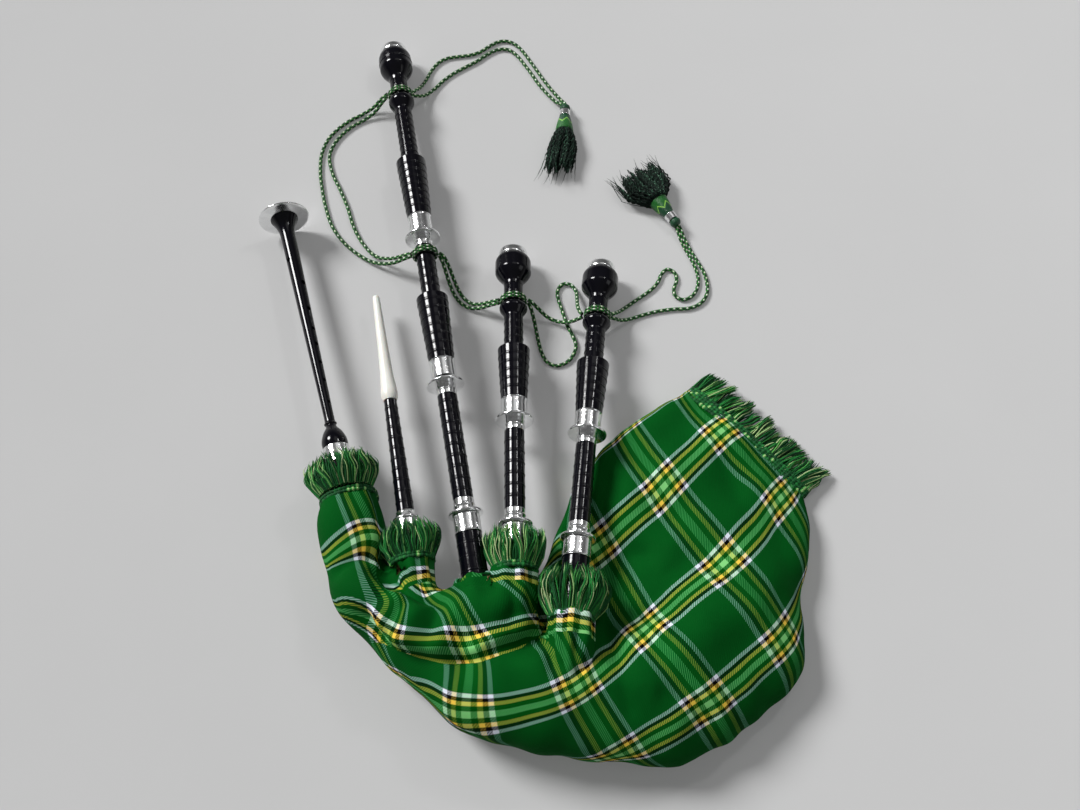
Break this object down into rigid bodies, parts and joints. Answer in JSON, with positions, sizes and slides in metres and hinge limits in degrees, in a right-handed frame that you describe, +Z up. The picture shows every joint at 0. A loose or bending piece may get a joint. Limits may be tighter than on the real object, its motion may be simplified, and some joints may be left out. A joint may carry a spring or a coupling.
{
  "type": "highland bagpipe",
  "caption": "Highland bagpipe lying flat, with a cloth-covered bag, stocks, chanter, blowpipe and tuning drones joined by a tasselled cord.",
  "frame": {"origin": "middle of the flat patch on which the bag rests", "axes": "+Z up from the surface it lies on, +Y the way the drones point, +X towards the closed end of the bag"},
  "size_m": [0.6957, 0.9946, 0.1075],
  "materials": {
    "black_gloss": "polished black, combed with fine rings",
    "silver_metal": "polished silver-coloured metal",
    "ivory_plastic": "smooth ivory white",
    "tartan_cloth": "woven green check wool",
    "fringe_yarn": "loose yarn",
    "bag_leather": "matt hide",
    "cane": "bare cane",
    "cord_green": "braided cord with pale flecks"
  },
  "bodies": {
    "bag_and_stocks": {"bag_cover": "tartan_cloth", "bag": "bag_leather", "tail_fringe": "fringe_yarn", "neck_fringe": "fringe_yarn", "blowpipe_fringe": "fringe_yarn", "tenor_1_fringe": "fringe_yarn", "tenor_2_fringe": "fringe_yarn", "chanter_stock": "black_gloss", "blowpipe_stock": "black_gloss", "bass_stock": "black_gloss", "tenor_1_stock": "black_gloss", "tenor_2_stock": "black_gloss", "chanter_stock_ferrule": "silver_metal", "blowpipe_stock_ferrule": "silver_metal", "bass_stock_ferrule": "silver_metal", "tenor_1_stock_ferrule": "silver_metal", "tenor_2_stock_ferrule": "silver_metal", "cord_bass_top_to_bass_middle": "cord_green", "cord_bass_middle_to_tenor_1": "cord_green", "cord_tenor_1_to_tenor_2": "cord_green"},
    "chanter": {"chanter": "black_gloss", "chanter_sole": "silver_metal", "chanter_reed": "cane"},
    "blowpipe": {"blowpipe": "black_gloss", "blowpipe_mount": "silver_metal", "mouthpiece": "ivory_plastic"},
    "valve_flap": {"valve_flap": "bag_leather"},
    "bass_bottom": {"bass_bottom_joint": "black_gloss", "bass_lower_mount": "silver_metal", "bass_bottom_mount": "silver_metal", "bass_reed": "cane"},
    "bass_middle": {"bass_middle_joint": "black_gloss", "bass_middle_ferrule": "silver_metal", "bass_middle_mount": "silver_metal"},
    "bass_top": {"bass_top_joint": "black_gloss", "bass_top_ferrule": "silver_metal", "bass_bell": "black_gloss", "bass_ring_cap": "silver_metal"},
    "tenor_1_bottom": {"tenor_1_bottom_joint": "black_gloss", "tenor_1_lower_mount": "silver_metal", "tenor_1_bottom_mount": "silver_metal", "tenor_1_reed": "cane"},
    "tenor_1_top": {"tenor_1_top_joint": "black_gloss", "tenor_1_top_ferrule": "silver_metal", "tenor_1_bell": "black_gloss", "tenor_1_ring_cap": "silver_metal"},
    "tenor_2_bottom": {"tenor_2_bottom_joint": "black_gloss", "tenor_2_lower_mount": "silver_metal", "tenor_2_bottom_mount": "silver_metal", "tenor_2_reed": "cane"},
    "tenor_2_top": {"tenor_2_top_joint": "black_gloss", "tenor_2_top_ferrule": "silver_metal", "tenor_2_bell": "black_gloss", "tenor_2_ring_cap": "silver_metal"},
    "cord_at_bass_middle": {"cord_wrap_bass_middle": "cord_green"},
    "cord_at_bass_top": {"cord_bass_top_to_tassel_1": "cord_green", "tassel_1": "cord_green"},
    "cord_at_tenor_1": {"cord_wrap_tenor_1": "cord_green"},
    "cord_at_tenor_2": {"cord_tenor_2_to_tassel_2": "cord_green", "tassel_2": "cord_green"}
  },
  "joints": [
    {"name": "chanter_turn", "type": "hinge", "parent": "bag_and_stocks", "child": "chanter", "pos_m": [-0.35509, 0.15698, 0.042], "axis": [-0.2839, 0.9584, -0.0287], "continuous": true},
    {"name": "blowpipe_turn", "type": "hinge", "parent": "bag_and_stocks", "child": "blowpipe", "pos_m": [-0.26734, 0.0658, 0.05], "axis": [-0.1886, 0.9794, -0.0719], "continuous": true},
    {"name": "valve_flap_swing", "type": "hinge", "parent": "blowpipe", "child": "valve_flap", "pos_m": [-0.26096, 0.03266, 0.05885], "axis": [-0.982, -0.1891, 0], "range_deg": [0, 40]},
    {"name": "bass_drone_turn", "type": "hinge", "parent": "bag_and_stocks", "child": "bass_bottom", "pos_m": [-0.20241, 0.07285, 0.05], "axis": [-0.1769, 0.9834, -0.0392], "continuous": true},
    {"name": "bass_middle_tuning", "type": "slide", "parent": "bass_bottom", "child": "bass_middle", "axis": [-0.1769, 0.9834, -0.0392], "range_m": [-0.0055, 0.025], "deforming": ["cord_bass_top_to_bass_middle", "cord_bass_middle_to_tenor_1"]},
    {"name": "bass_top_tuning", "type": "slide", "parent": "bass_middle", "child": "bass_top", "axis": [-0.1769, 0.9834, -0.0392], "range_m": [-0.0055, 0.025]},
    {"name": "tenor_1_drone_turn", "type": "hinge", "parent": "bag_and_stocks", "child": "tenor_1_bottom", "pos_m": [-0.14742, 0.05922, 0.056], "axis": [-0.0191, 0.9955, -0.0923], "continuous": true},
    {"name": "tenor_1_tuning", "type": "slide", "parent": "tenor_1_bottom", "child": "tenor_1_top", "axis": [-0.0191, 0.9955, -0.0923], "range_m": [-0.0019, 0.025], "deforming": ["cord_tenor_1_to_tenor_2"]},
    {"name": "tenor_2_drone_turn", "type": "hinge", "parent": "bag_and_stocks", "child": "tenor_2_bottom", "pos_m": [-0.07898, 0.04042, 0.066], "axis": [0.0986, 0.9878, -0.1204], "continuous": true},
    {"name": "tenor_2_tuning", "type": "slide", "parent": "tenor_2_bottom", "child": "tenor_2_top", "axis": [0.0986, 0.9878, -0.1204], "range_m": [-0.0019, 0.025]},
    {"name": "cord_follows_bass_middle", "type": "slide", "parent": "bag_and_stocks", "child": "cord_at_bass_middle", "axis": [-0.1769, 0.9834, -0.0392], "range_m": [-0.0055, 0.025]},
    {"name": "cord_follows_bass_top", "type": "slide", "parent": "cord_at_bass_middle", "child": "cord_at_bass_top", "axis": [-0.1769, 0.9834, -0.0392], "range_m": [-0.0055, 0.025]},
    {"name": "cord_follows_tenor_1", "type": "slide", "parent": "bag_and_stocks", "child": "cord_at_tenor_1", "axis": [-0.0191, 0.9955, -0.0923], "range_m": [-0.0019, 0.025]},
    {"name": "cord_follows_tenor_2", "type": "slide", "parent": "bag_and_stocks", "child": "cord_at_tenor_2", "axis": [0.0986, 0.9878, -0.1204], "range_m": [-0.0019, 0.025]}
  ],
  "couplings": [
    {"joint": "cord_follows_bass_middle", "follows": "bass_middle_tuning", "ratio": 1},
    {"joint": "cord_follows_bass_top", "follows": "bass_top_tuning", "ratio": 1},
    {"joint": "cord_follows_tenor_1", "follows": "tenor_1_tuning", "ratio": 1},
    {"joint": "cord_follows_tenor_2", "follows": "tenor_2_tuning", "ratio": 1}
  ]
}
